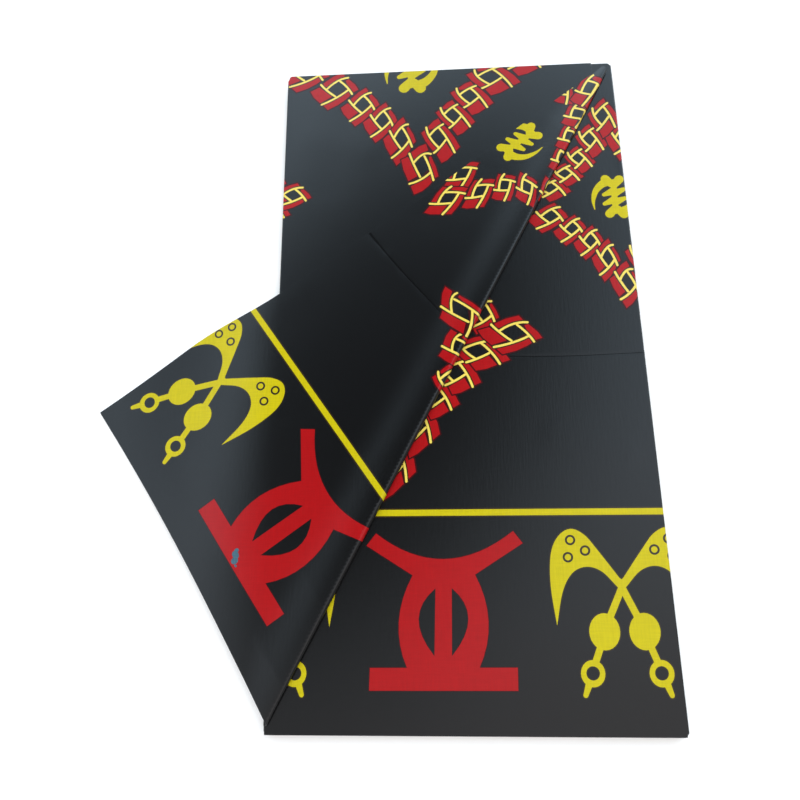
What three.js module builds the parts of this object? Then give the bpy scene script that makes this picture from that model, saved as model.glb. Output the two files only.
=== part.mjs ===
// A length of wax print cotton, doubled along its centre and folded into a flat stack of panels.
// The free corner of the top panel is turned over the stack's diagonal: it rolls over softly,
// lies on its own panel and reaches past the left side, where it drapes down to the table.
//
// Millimetres, +Z up. The origin is the centre of the stack's flat underside. +Y runs from the
// selvedges to the centre folds, +X from the panels' left sides to their right sides.

import * as THREE from 'three';

// ---- Driving dimensions ----------------------------------------------------------------------

const CLOTH_WIDTH = 1172;                 // selvedge to selvedge, before the cloth is doubled
const PANEL_LENGTH = CLOTH_WIDTH / 2;     // centre fold to selvedges
const PANEL_WIDTH = 311;                  // from one side fold to the next
const TOP_LEAN = { left: 8, right: -3 };  // how far the top side's ends stand off square
const SIDE_LEAN = { left: -1.5, right: -1.5 }; // how far the top corners stand left of the lower ones

const WALL = 1.2;                         // one doubled panel
const GAP = 0.3;                          // between pieces that lie on each other
const PITCH = WALL + GAP;                 // from one panel to the next
const HIDDEN_PANELS = 5;                  // doubled layers that the stack's solid stands for
const STACK_HEIGHT = HIDDEN_PANELS * PITCH;
const STACK_CORNER = 3;                   // radius of the stack's corners, seen from above

const LOWER_PANEL_UNDERSIDE = STACK_HEIGHT + GAP;
const UPPER_PANEL_UNDERSIDE = LOWER_PANEL_UNDERSIDE + PITCH;
const FLAP_UNDERSIDE = UPPER_PANEL_UNDERSIDE + PITCH;

const SIDE_FOLD_RADIUS = WALL + GAP / 2;  // outside of the fold that joins two panels
const FOLD_LIP = 0.55;                    // how far a side fold runs on past its round end

// The roll along the diagonal, from the lower left corner (along 0) to the upper right (along 1).
// settle is how far the turned cloth runs from the roll's crown before it lies flat.
const ROLL = [
  { along: 0.00, radius: 1.2, settle: 30 },
  { along: 0.05, radius: 1.8, settle: 44 },
  { along: 0.15, radius: 2.2, settle: 48 },
  { along: 0.35, radius: 2.3, settle: 46 },
  { along: 0.60, radius: 2.0, settle: 42 },
  { along: 0.85, radius: 1.6, settle: 34 },
  { along: 1.00, radius: 1.2, settle: 4 },
];
const LOWER_LEG = 10;                     // flat cloth under the roll, before the upper panel starts
const FLAP_ROWS = 36;
const FLAP_FIRST_ROW = 6;                 // where the turned selvedge leaves the diagonal, from its foot
const FLAP_LAST_ROW = 12;                 // how far short of the diagonal's upper end the rows stop

const FLAP_CORNER = { x: -315.5, y: -35.2 };      // the turned corner, on the table
const DRAPE = { start: 2.5, length: 158 }; // from inside the stack's left side to the table
const EDGE_BOW = 7;                       // how far the turned end lies inside a straight line
const SELVEDGE_BOW = 4.5;                 // how far the turned selvedge does

// Each hidden panel's sides, as distances in from the outline above it.
const HIDDEN = [
  { panel: 1, left: 1.6, right: 1.2, top: 0.4, bottom: 1.0 },
  { panel: 2, left: 0.2, right: 1.2, top: 2.2, bottom: 0.3 },
  { panel: 3, left: 0.2, right: 0.2, top: 1.2, bottom: 2.0 },
  { panel: 4, left: 0.9, right: 0.2, top: 0.2, bottom: 0.9 },
  { panel: 5, left: 0.9, right: 2.6, top: 1.7, bottom: 1.6 },
];

// ---- Plan of the stack -----------------------------------------------------------------------

const lerp = THREE.MathUtils.lerp;
const smoothstep = THREE.MathUtils.smoothstep;

const corner = {
  bottomLeft: new THREE.Vector2(-PANEL_WIDTH / 2, -PANEL_LENGTH / 2),
  bottomRight: new THREE.Vector2(PANEL_WIDTH / 2, -PANEL_LENGTH / 2),
  topLeft: new THREE.Vector2(-PANEL_WIDTH / 2 + SIDE_LEAN.left, PANEL_LENGTH / 2 + TOP_LEAN.left),
  topRight: new THREE.Vector2(PANEL_WIDTH / 2 + SIDE_LEAN.right, PANEL_LENGTH / 2 + TOP_LEAN.right),
};

const leftSideX = (y) => {
  const up = (y - corner.bottomLeft.y) / (corner.topLeft.y - corner.bottomLeft.y);
  return lerp(corner.bottomLeft.x, corner.topLeft.x, up);
};

const topSideY = (x) => {
  const across = (x - corner.topLeft.x) / (corner.topRight.x - corner.topLeft.x);
  return lerp(corner.topLeft.y, corner.topRight.y, across);
};

// ---- The diagonal fold -----------------------------------------------------------------------

const foldFoot = new THREE.Vector2(-154, -291);
const foldHead = corner.topRight.clone();
const foldLength = foldFoot.distanceTo(foldHead);
const foldAlong = foldHead.clone().sub(foldFoot).normalize();
const foldAcross = new THREE.Vector2(-foldAlong.y, foldAlong.x);   // towards the turned cloth

// A point of the plan, from its distances along the fold and across from it.
const fromFold = (along, across) => foldFoot.clone()
  .addScaledVector(foldAlong, along)
  .addScaledVector(foldAcross, across);

const cornerOffset = new THREE.Vector2(FLAP_CORNER.x, FLAP_CORNER.y).sub(foldFoot);
const cornerAlong = cornerOffset.dot(foldAlong);
const cornerAcross = cornerOffset.dot(foldAcross);

// Linear interpolation in a table whose rows are ordered by their column "along".
const tableAt = (table, column, along) => {
  const last = table.length - 1;
  if (along <= table[0].along) return table[0][column];
  if (along >= table[last].along) return table[last][column];
  const next = table.findIndex((row) => row.along > along);
  const a = table[next - 1];
  const b = table[next];
  return lerp(a[column], b[column], (along - a.along) / (b.along - a.along));
};

// The turned cloth's height where it lies flat: on the upper panel, and down its left side.
const restingHeight = (x, y) => {
  const outside = leftSideX(y) + DRAPE.start - x;
  return FLAP_UNDERSIDE * (1 - smoothstep(outside, 0, DRAPE.length));
};

// A row is a thread of the cloth, parallel to the selvedge. It crosses the fold at the distance
// "start" along it. "run" is the cloth's distance across the fold from there, below zero on the
// underside; slant is how far such a thread moves along the fold for each millimetre of run.
const rollQuarter = Math.PI / 2;
const rollRadius = (start) => tableAt(ROLL, 'radius', start / foldLength);
const settleLength = (start) => tableAt(ROLL, 'settle', start / foldLength);
const rollShortening = rollQuarter - 1;    // cloth that the roll takes up, in radii
const cornerRun = cornerAcross + rollShortening * rollRadius(FLAP_FIRST_ROW);
const slant = (cornerAlong - FLAP_FIRST_ROW) / cornerRun;

const edgeSlope = cornerAcross / (foldLength - cornerAlong);   // the turned end of the cloth
const upperRunEnd = (start) => {
  const shortening = rollShortening * rollRadius(start);
  const straight = (edgeSlope * (foldLength - start) + shortening) / (1 + edgeSlope * slant);
  const share = start / foldLength;
  return straight - EDGE_BOW * smoothstep(share, 0.18, 0.34) * smoothstep(1 - share, 0, 0.45);
};

// The stack's left side, as a distance across the fold for each millimetre along it.
const leftSideAngle = foldAlong.angle() - Math.PI / 2;
const leftSlope = Math.tan(Math.abs(leftSideAngle));
const lowerRunEnd = (start) => {
  const radius = rollRadius(start);
  const toSide = (leftSlope * start + rollShortening * radius) / (1 + leftSlope * slant);
  return Math.min(rollQuarter * radius + LOWER_LEG, toSide - GAP);
};

// The middle of the turned cloth's wall, at one run of one row.
const selvedgeBow = (start, run) => SELVEDGE_BOW * smoothstep(60 - start, 0, 60)
  * Math.sin(Math.PI * THREE.MathUtils.clamp(run / upperRunEnd(start), 0, 1));

const flapMiddle = (start, run) => {
  const radius = rollRadius(start);
  const quarter = rollQuarter * radius;
  const legHeight = UPPER_PANEL_UNDERSIDE + WALL / 2;
  const along = start + slant * run + selvedgeBow(start, run);
  let across;
  let height;
  if (run < -quarter) {
    across = radius - run - quarter;
    height = legHeight;
  } else if (run <= quarter) {
    const angle = run / radius;
    across = radius * (1 - Math.cos(angle));
    height = legHeight + radius * (1 + Math.sin(angle));
  } else {
    across = radius + run - quarter;
    const plan = fromFold(along, across);
    const crown = legHeight + 2 * radius - (FLAP_UNDERSIDE + WALL / 2);
    const settled = Math.min((run - quarter) / settleLength(start), 1);
    const lift = crown * (1 - settled) ** 2.5 * (1 + 2.5 * settled);
    height = restingHeight(plan.x, plan.y) + WALL / 2 + lift;
  }
  return { along, across, height };
};

// ---- Closed solids from rings of points ------------------------------------------------------

// Joins rings that have the same number of points, and closes the two ends. flatten gives the
// two coordinates in which an end ring is a plain outline.
function loft(rings, flatten) {
  const count = rings[0].length;
  const positions = [];
  const indices = [];
  for (const ring of rings) {
    for (const point of ring) positions.push(point.x, point.y, point.z);
  }
  for (let row = 0; row < rings.length - 1; row++) {
    for (let i = 0; i < count; i++) {
      const a = row * count + i;
      const b = row * count + (i + 1) % count;
      indices.push(a, b, b + count, a, b + count, a + count);
    }
  }
  for (const row of [0, rings.length - 1]) {
    const outline = rings[row].map(flatten);
    const faces = THREE.ShapeUtils.triangulateShape(outline, []);
    const faceArea = faces.reduce((sum, face) => sum
      + THREE.ShapeUtils.area(face.map((i) => outline[i])), 0);
    const turned = Math.sign(faceArea * THREE.ShapeUtils.area(outline)) !== (row === 0 ? -1 : 1);
    for (const face of faces) {
      const ordered = turned ? face.reverse() : face;
      indices.push(...ordered.map((i) => i + row * count));
    }
  }
  const geometry = new THREE.BufferGeometry();
  geometry.setAttribute('position', new THREE.Float32BufferAttribute(positions, 3));
  geometry.setIndex(indices);
  return facingOut(geometry);
}

// Turns every face round if the solid's signed volume is below zero.
function facingOut(geometry) {
  const position = geometry.getAttribute('position');
  const index = geometry.getIndex();
  const corners = [new THREE.Vector3(), new THREE.Vector3(), new THREE.Vector3()];
  let volume = 0;
  for (let i = 0; i < index.count; i += 3) {
    corners.forEach((point, k) => point.fromBufferAttribute(position, index.getX(i + k)));
    volume += corners[0].dot(corners[1].clone().cross(corners[2])) / 6;
  }
  if (volume < 0) geometry.setIndex(Array.from(index.array).reverse());
  geometry.computeVertexNormals();
  return geometry;
}

// ---- The hidden panels, one solid layered at its edges ---------------------------------------

// How far a round edge between two heights draws in at a height between them.
const roundInset = (height, low, high, radius) => {
  const middle = (low + high) / 2;
  const share = THREE.MathUtils.clamp((height - middle) / ((high - low) / 2), -1, 1);
  return radius * (1 - Math.sqrt(Math.max(0, 1 - share * share)));
};

// The inset of one side of a panel. Side folds join two panels; a first panel of 1 joins
// panels 1 and 2, 3 and 4, and so on, and a first panel of 2 joins 2 and 3, 4 and 5.
const foldInset = (panel, height, firstJoined) => {
  const lower = panel - (panel + firstJoined) % 2;
  const from = Math.max(lower, 1);
  const to = Math.min(lower + 1, HIDDEN_PANELS);
  const low = (from - 1) * PITCH;
  const high = to * PITCH;
  return roundInset(height, low, high, (high - low) / 2);
};

function stackRing(panel, height) {
  const sides = HIDDEN[panel - 1];
  const low = (panel - 1) * PITCH;
  const topRadius = PITCH / 2;
  const cutGroove = 0.5;
  const left = sides.left + foldInset(panel, height, 2);
  const right = sides.right + foldInset(panel, height, 1);
  const top = sides.top + roundInset(height, low, low + PITCH, topRadius);
  const bottom = sides.bottom + roundInset(height, low, low + PITCH, cutGroove);
  const inner = [
    { at: corner.bottomLeft, x: 1, y: 1, dx: left, dy: bottom },
    { at: corner.bottomRight, x: -1, y: 1, dx: right, dy: bottom },
    { at: corner.topRight, x: -1, y: -1, dx: right, dy: top },
    { at: corner.topLeft, x: 1, y: -1, dx: left, dy: top },
  ];
  const stepsPerCorner = 4;
  const points = [];
  inner.forEach(({ at, x, y, dx, dy }, quarter) => {
    const centreX = at.x + x * (dx + STACK_CORNER);
    const centreY = at.y + y * (dy + STACK_CORNER);
    for (let step = 0; step <= stepsPerCorner; step++) {
      const angle = Math.PI + (quarter + step / stepsPerCorner) * Math.PI / 2;
      points.push(new THREE.Vector3(
        centreX + STACK_CORNER * Math.cos(angle),
        centreY + STACK_CORNER * Math.sin(angle),
        height));
    }
  });
  return points;
}

function foldedStack() {
  const shares = [0.02, 0.12, 0.3, 0.5, 0.7, 0.88, 0.98];
  const rings = [];
  for (let panel = 1; panel <= HIDDEN_PANELS; panel++) {
    const low = (panel - 1) * PITCH;
    if (panel === 1) rings.push(stackRing(panel, low));
    for (const share of shares) rings.push(stackRing(panel, low + share * PITCH));
    if (panel === HIDDEN_PANELS) rings.push(stackRing(panel, low + PITCH));
  }
  return loft(rings, (point) => new THREE.Vector2(point.x, point.y));
}

// ---- Panels: flat walls with a round fold on one side ----------------------------------------

// The section of a panel from its folded side (distance 0) inwards, with its top at zero.
function foldedSection(length) {
  const steps = 8;
  const radius = SIDE_FOLD_RADIUS;
  const section = [];
  for (let step = 0; step <= steps; step++) {
    const angle = Math.PI / 2 + step / steps * Math.PI;
    section.push({ in: radius + radius * Math.cos(angle), z: radius * (Math.sin(angle) - 1) });
  }
  section.push({ in: radius + FOLD_LIP, z: -2 * radius });
  section.push({ in: radius + FOLD_LIP, z: -WALL });
  section.push({ in: length, z: -WALL });
  section.push({ in: length, z: 0 });
  return section;
}

// A panel between the plan points of its folded side and those of its other side.
function panelSolid(folded, far, topHeight) {
  const rings = folded.map((start, i) => {
    const direction = far[i].clone().sub(start);
    const length = direction.length();
    direction.normalize();
    return foldedSection(length).map((point) => new THREE.Vector3(
      start.x + direction.x * point.in,
      start.y + direction.y * point.in,
      topHeight + point.z));
  });
  return loft(rings, (point) => new THREE.Vector2(point.x, point.z));
}

function lowerPanel() {
  const farSideInset = SIDE_FOLD_RADIUS + FOLD_LIP + GAP;   // clear of the upper panel's side fold
  const folded = [corner.bottomRight, corner.topRight];
  const far = [corner.bottomLeft, corner.topLeft].map((point) => point.clone());
  far.forEach((point) => { point.x += farSideInset; });
  return panelSolid(folded, far, LOWER_PANEL_UNDERSIDE + WALL);
}

function upperPanel() {
  const rows = 16;
  const firstStart = 60;
  const lastStart = foldLength - FLAP_LAST_ROW;
  const folded = [];
  const far = [];
  for (let row = 0; row <= rows; row++) {
    const start = lerp(firstStart, lastStart, row / rows);
    const run = -(lowerRunEnd(start) + GAP);
    const { along, across } = flapMiddle(start, run);
    const end = fromFold(along, across);
    const up = (end.y - corner.bottomLeft.y) / PANEL_LENGTH;
    const across01 = (end.x - corner.bottomLeft.x) / PANEL_WIDTH;
    const sideY = end.y + up * (TOP_LEAN.left - TOP_LEAN.right) * across01;
    far.push(end);
    folded.push(new THREE.Vector2(leftSideX(sideY), sideY));
  }
  const topEndX = far[rows].x;
  far.push(new THREE.Vector2(topEndX, topSideY(topEndX)));
  folded.push(corner.topLeft.clone());
  return panelSolid(folded, far, UPPER_PANEL_UNDERSIDE + WALL);
}

// ---- The turned flap -------------------------------------------------------------------------

// The runs at which each row of the flap has a point: under the roll, round it, over the upper
// panel with more of them near the roll, down the drape, and out to the turned end.
function flapRuns(start) {
  const quarter = rollQuarter * rollRadius(start);
  const end = upperRunEnd(start);
  const rowX = (run) => fromFold(start + slant * run, run - rollShortening * rollRadius(start)).x;
  const xPerRun = rowX(1) - rowX(0);
  const sideX = leftSideX(fromFold(start, 0).y) + DRAPE.start;
  const clamp = THREE.MathUtils.clamp;
  const drapeStart = clamp((sideX - rowX(0)) / xPerRun, quarter + 3, lerp(end, quarter, 0.1));
  const drapeEnd = Math.min(drapeStart - DRAPE.length / xPerRun, lerp(end, quarter, 0.03));
  const stretches = [
    { from: -quarter, to: quarter, steps: 10, crowding: 1 },
    { from: quarter, to: drapeStart, steps: 10, crowding: 1.4 },
    { from: drapeStart, to: drapeEnd, steps: 12, crowding: 1 },
    { from: drapeEnd, to: end, steps: 3, crowding: 1 },
  ];
  const runs = [-lowerRunEnd(start), -quarter];
  for (const { from, to, steps, crowding } of stretches) {
    for (let step = 1; step <= steps; step++) runs.push(lerp(from, to, (step / steps) ** crowding));
  }
  return runs;
}

// One row's closed section: the wall's outside, then its inside, back to the start.
function flapRing(start) {
  const middle = flapRuns(start).map((run) => flapMiddle(start, run));
  const side = (sign) => middle.map((point, i) => {
    const before = middle[Math.max(i - 1, 0)];
    const after = middle[Math.min(i + 1, middle.length - 1)];
    const tangent = new THREE.Vector2(after.across - before.across, after.height - before.height);
    tangent.normalize();
    const plan = fromFold(point.along, point.across - sign * tangent.y * WALL / 2);
    const height = point.height + sign * tangent.x * WALL / 2;
    return new THREE.Vector3(plan.x, plan.y, Math.max(height, 0));
  });
  return [...side(1), ...side(-1).reverse()];
}

function turnedFlap() {
  const lastStart = foldLength - FLAP_LAST_ROW;
  const rings = [];
  for (let row = 0; row <= FLAP_ROWS; row++) {
    rings.push(flapRing(lerp(FLAP_FIRST_ROW, lastStart, row / FLAP_ROWS)));
  }
  const across = (point) => (point.x - foldFoot.x) * foldAcross.x + (point.y - foldFoot.y) * foldAcross.y;
  return loft(rings, (point) => new THREE.Vector2(across(point), point.z));
}

// ---- The scene graph -------------------------------------------------------------------------

const cotton = (color, roughness) => new THREE.MeshStandardMaterial({ color, roughness, metalness: 0 });

function named(name, geometry, material) {
  const mesh = new THREE.Mesh(geometry, material);
  mesh.name = name;
  return mesh;
}

const fabric = new THREE.Group();
fabric.add(
  named('folded_stack', foldedStack(), cotton(0x1d1d20, 0.8)),
  named('lower_panel', lowerPanel(), cotton(0x232327, 0.6)),
  named('upper_panel', upperPanel(), cotton(0x2c2f34, 0.55)),
  named('turned_flap', turnedFlap(), cotton(0x292b30, 0.5)),
);

export default fabric;
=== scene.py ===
"""Looks of the folded wax print fabric: four printed cloth pieces on the CAD frame, floor, light and camera.

Sizes are in millimetres until a mesh is made. A piece's print is laid out in cloth coordinates: the plan of
the cloth as though its roll and side folds were flattened. Print is colour alone: it cuts a face into inks.
"""
import math
import random

import bpy
import numpy as np
from mathutils import Matrix, Vector
from mathutils.geometry import delaunay_2d_cdt


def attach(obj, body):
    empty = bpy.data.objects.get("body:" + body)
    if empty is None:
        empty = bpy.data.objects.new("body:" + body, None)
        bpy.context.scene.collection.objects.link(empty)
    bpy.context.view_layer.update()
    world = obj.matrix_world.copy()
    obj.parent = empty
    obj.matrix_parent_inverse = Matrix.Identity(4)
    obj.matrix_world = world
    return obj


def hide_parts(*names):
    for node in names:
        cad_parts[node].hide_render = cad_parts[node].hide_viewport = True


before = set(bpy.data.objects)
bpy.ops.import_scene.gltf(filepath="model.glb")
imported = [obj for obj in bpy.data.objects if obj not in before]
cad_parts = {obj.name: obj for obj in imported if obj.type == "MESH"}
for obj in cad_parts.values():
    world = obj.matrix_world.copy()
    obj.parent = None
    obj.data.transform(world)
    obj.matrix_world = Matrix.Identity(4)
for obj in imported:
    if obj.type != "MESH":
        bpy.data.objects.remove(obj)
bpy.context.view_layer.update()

# ---- Sizes shared with the part's source ----

WALL = 1.2
LOWER_TOP = 9.0
UPPER_TOP = 10.5
FLAP_UNDERSIDE = 10.8
STACK_HEIGHT = 7.5
BOTTOM_LEFT = np.array([-155.5, -293.0])
BOTTOM_RIGHT = np.array([155.5, -293.0])
TOP_LEFT = np.array([-157.0, 301.0])
TOP_RIGHT = np.array([154.0, 290.0])
FOLD_FOOT = np.array([-154.0, -291.0])
FLAP_CORNER = np.array([-315.5, -35.2])
SIDE_FOLD_RADIUS = 1.35
FLAP_FIRST_ROW = 6.0
FLAP_LAST_ROW = 12.0
LOWER_LEG = 10.0
DRAPE_START = 2.5
DRAPE_LENGTH = 158.0
ROLL_ALONG = [0.00, 0.05, 0.15, 0.35, 0.60, 0.85, 1.00]
ROLL_RADIUS = [1.2, 1.8, 2.2, 2.3, 2.0, 1.6, 1.2]
ROLL_SETTLE = [30, 44, 48, 46, 42, 34, 4]
SETTLE_POWER = 2.5

FOLD_LENGTH = float(np.linalg.norm(TOP_RIGHT - FOLD_FOOT))
ALONG = (TOP_RIGHT - FOLD_FOOT) / FOLD_LENGTH
ACROSS = np.array([-ALONG[1], ALONG[0]])
QUARTER = math.pi / 2
SHORTENING = QUARTER - 1
CORNER_ALONG = float((FLAP_CORNER - FOLD_FOOT) @ ALONG)
CORNER_ACROSS = float((FLAP_CORNER - FOLD_FOOT) @ ACROSS)


def left_x(y):
    up = (y - BOTTOM_LEFT[1]) / (TOP_LEFT[1] - BOTTOM_LEFT[1])
    return BOTTOM_LEFT[0] + (TOP_LEFT[0] - BOTTOM_LEFT[0]) * up


def right_x(y):
    up = (y - BOTTOM_RIGHT[1]) / (TOP_RIGHT[1] - BOTTOM_RIGHT[1])
    return BOTTOM_RIGHT[0] + (TOP_RIGHT[0] - BOTTOM_RIGHT[0]) * up


def top_y(x):
    return TOP_LEFT[1] + (TOP_RIGHT[1] - TOP_LEFT[1]) * (x - TOP_LEFT[0]) / (TOP_RIGHT[0] - TOP_LEFT[0])


def smooth(share):
    share = np.clip(share, 0, 1)
    return share * share * (3 - 2 * share)


def roll_radius(start):
    return np.interp(start / FOLD_LENGTH, ROLL_ALONG, ROLL_RADIUS)


def settle_length(start):
    return np.interp(start / FOLD_LENGTH, ROLL_ALONG, ROLL_SETTLE)


SLANT = (CORNER_ALONG - FLAP_FIRST_ROW) / (CORNER_ACROSS + SHORTENING * roll_radius(FLAP_FIRST_ROW))
EDGE_SLOPE = CORNER_ACROSS / (FOLD_LENGTH - CORNER_ALONG)
LEFT_SLOPE = math.tan(abs(math.atan2(ALONG[1], ALONG[0]) - QUARTER))

# ---- Creases: soft troughs and ridges, in cloth coordinates ----
# from and to are the crease's ends, width is its half width, height is above 0 for a ridge.

LOWER_CREASES = [
    dict(start=(30, 0.6), end=(160, -2.6), width=1.7, height=-0.14, dull=1.0),
    dict(start=(-30, -2.0), end=(44, 3.0), width=2.8, height=-0.10),
    dict(start=(60, -64), end=(150, -92), width=14, height=0.10),
    dict(start=(120, 270), end=(150, 160), width=15, height=-0.08),
]
UPPER_CREASES = [
    dict(start=(-150, 236), end=(-60, 205), width=17, height=0.08),
    dict(start=(-120, 150), end=(-95, 270), width=19, height=-0.08),
]
FLAP_CREASES = [
    dict(start=(-80, 129), end=(-10, 36), width=1.7, height=-0.10, dull=2.2),
    dict(start=(-84, 130), end=(-56, 98), width=3.6, height=-0.12),
    dict(start=(-250, -60), end=(-172, -170), width=16, height=0.14),
    dict(start=(-120, -30), end=(-60, -96), width=18, height=0.12),
    dict(start=(-40, 120), end=(48, 190), width=17, height=-0.10),
    dict(start=(-210, 20), end=(-120, 84), width=16, height=0.10),
]


def crease_bow(length, along):
    return 0.01 * length * np.sin(along * 4.0)


def crease_height(creases, points):
    total = np.zeros(len(points))
    for crease in creases:
        start, end = np.array(crease["start"], float), np.array(crease["end"], float)
        length = np.linalg.norm(end - start)
        along = (points - start) @ (end - start) / length ** 2
        side = (end - start) / length
        off = (points - start) @ np.array([-side[1], side[0]])
        off = off + crease_bow(length, along)
        fade = smooth(along * 5) * smooth((1 - along) * 5)
        total += crease["height"] * fade * np.exp(-(off / crease["width"]) ** 2)
    return total


# ---- Surfaces: cloth coordinates to the middle of each piece's wall ----

def flap_rows(points):
    """The row each point lies on, as its start along the fold, and its run across the fold."""
    along, run = (points - FOLD_FOOT) @ ALONG, (points - FOLD_FOOT) @ ACROSS
    start = along.copy()
    for _ in range(8):
        start = along - SLANT * (run + SHORTENING * roll_radius(start))
    return along, start, run + SHORTENING * roll_radius(start)


def flap_surface(points):
    along, start, run = flap_rows(points)
    radius = roll_radius(start)
    quarter = QUARTER * radius
    leg_height = UPPER_TOP - WALL / 2
    turn = np.clip(run / radius, -QUARTER, QUARTER)
    across = np.where(run < -quarter, radius - run - quarter,
                      np.where(run <= quarter, radius * (1 - np.cos(turn)), radius + run - quarter))
    plan = FOLD_FOOT + along[:, None] * ALONG + across[:, None] * ACROSS
    crown = leg_height + 2 * radius - (FLAP_UNDERSIDE + WALL / 2)
    settled = np.clip((run - quarter) / settle_length(start), 0, 1)
    outside = left_x(plan[:, 1]) + DRAPE_START - plan[:, 0]
    rest = FLAP_UNDERSIDE * (1 - smooth(outside / DRAPE_LENGTH))
    upper = rest + WALL / 2 + crown * (1 - settled) ** SETTLE_POWER * (1 + SETTLE_POWER * settled)
    round_roll = leg_height + radius * (1 + np.sin(turn))
    height = np.where(run < -quarter, leg_height, np.where(run <= quarter, round_roll, upper))
    height = height + crease_height(FLAP_CREASES, points) * (run > quarter)
    return np.column_stack([plan, height])


def side_folded(points, inward, side, sign, top, creases):
    """A flat panel whose folded side turns round and under."""
    middle = SIDE_FOLD_RADIUS - WALL / 2
    turn = np.clip((SIDE_FOLD_RADIUS - inward) / SIDE_FOLD_RADIUS, 0, math.pi)
    flat = np.maximum(inward, SIDE_FOLD_RADIUS) - SIDE_FOLD_RADIUS
    inside = SIDE_FOLD_RADIUS - middle * np.sin(turn) + flat
    height = top - SIDE_FOLD_RADIUS + middle * np.cos(turn)
    height = height + crease_height(creases, points) * smooth((inward - SIDE_FOLD_RADIUS) / 6)
    return np.column_stack([side + sign * inside, points[:, 1], height])


def lower_surface(points):
    side = right_x(points[:, 1])
    return side_folded(points, side - points[:, 0], side, -1, LOWER_TOP, LOWER_CREASES)


def upper_surface(points):
    side = left_x(points[:, 1])
    return side_folded(points, points[:, 0] - side, side, 1, UPPER_TOP, UPPER_CREASES)


# ---- Flat shapes ----

def disc(x, y, rx, ry=None, sides=28):
    turn = np.linspace(0, 2 * math.pi, sides, endpoint=False)
    return np.column_stack([x + rx * np.cos(turn), y + (ry or rx) * np.sin(turn)])


def through(a, b, c, steps=8):
    """A soft curve from a to c that passes b half way."""
    a, b, c = (np.array(p, float) for p in (a, b, c))
    t = np.linspace(0, 1, steps + 1)[:, None]
    return 2 * (t - 0.5) * (t - 1) * a - 4 * t * (t - 1) * b + 2 * t * (t - 0.5) * c


def smooth_line(points, steps=5):
    """A soft open curve through points."""
    p = np.array(points, float)
    p = np.vstack([2 * p[0] - p[1], p, 2 * p[-1] - p[-2]])
    out = []
    for a, b, c, d in zip(p, p[1:], p[2:], p[3:]):
        for t in np.linspace(0, 1, steps, endpoint=False):
            out.append(0.5 * (2 * b + (c - a) * t + (2 * a - 5 * b + 4 * c - d) * t ** 2
                              + (3 * b - a - 3 * c + d) * t ** 3))
    return np.array(out + [p[-2]])


CAP_SIDES = 6


def stroke(line, width, end_width=None, grow=0.0):
    """The outline of a stroke along line, from one width to another, with round ends."""
    line = np.array(line, float)
    widths = np.linspace(width, width if end_width is None else end_width, len(line)) / 2 + grow
    ahead = np.gradient(line, axis=0)
    ahead /= np.linalg.norm(ahead, axis=1)[:, None]
    aside = np.column_stack([-ahead[:, 1], ahead[:, 0]]) * widths[:, None]
    turn = np.linspace(QUARTER, -QUARTER, CAP_SIDES + 1)[1:-1, None]
    caps = []
    for end, way in ((-1, 1), (0, -1)):
        cap = np.cos(turn) * ahead[end] * way + np.sin(turn) * way * aside[end] / widths[end]
        caps.append(line[end] + cap * widths[end])
    return np.vstack([line + aside, caps[0], (line - aside)[::-1], caps[1]])


def grown(polygon, by):
    """A polygon whose sides stand out by a distance."""
    p = np.array(polygon, float)
    x, y = p[:, 0], p[:, 1]
    if np.sum(x * np.roll(y, -1) - y * np.roll(x, -1)) < 0:
        p = p[::-1]
    before, after = p - np.roll(p, 1, axis=0), np.roll(p, -1, axis=0) - p
    out = []
    for point, a, b in zip(p, before, after):
        na, nb = (np.array([v[1], -v[0]]) / np.linalg.norm(v) for v in (a, b))
        out.append(point + (na + nb) * by / max(1 + na @ nb, 0.6))
    return np.array(out)


def mirrored(polygon):
    return np.array(polygon, float)[::-1] * [-1, 1]


def placed(shapes, x, y, turn=0.0, along=1.0, across=1.0, lean=0.0):
    """Shapes moved to x, y and turned by degrees. along and across scale them first."""
    c, s = math.cos(math.radians(turn)), math.sin(math.radians(turn))
    out = []
    for ink, polygon in shapes:
        p = np.array(polygon, float) * [along, across]
        p[:, 0] += lean * p[:, 1]
        out.append((ink, np.column_stack([x + c * p[:, 0] - s * p[:, 1], y + s * p[:, 0] + c * p[:, 1]])))
    return out


# ---- The print's motifs, each in its own millimetres ----

BLACK, RED, YELLOW, CHAIN_YELLOW, SEAM, OLIVE, STAIN, CREASED = range(8)
OUTLINE = 0.9


def outlined(polygons, ink, edge=OLIVE, by=OUTLINE):
    return [(edge, grown(p, by)) for p in polygons] + [(ink, p) for p in polygons]


def stool():
    """A carved stool: curved seat, bowed legs round a post, flat base. Origin: middle of its underside."""
    seat_half, seat_rise, seat_low = 54, 116.3, 95.6
    top = through((-seat_half, seat_rise), (0, seat_low), (seat_half, seat_rise), 16)
    neck, bulge, foot = (24.2, 83.5), (34.2, 49), (27.0, 15.5)
    leg = through(neck, bulge, foot, 8)
    right = np.vstack([[(61.3, 106.8)], leg])
    body = np.vstack([top, right, mirrored(right)])
    hole = np.vstack([through((6.3, 73.6), (19.0, 51), (6.6, 24.2), 8)])
    base = [(-55.4, 0), (55.4, 0), (55.4, 16), (-55.4, 16)]
    holes = [hole, mirrored(hole)]
    return (outlined([body, base], RED, SEAM, 0.5)
            + [(SEAM, side) for side in holes] + [(BLACK, grown(side, -0.4)) for side in holes])


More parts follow.
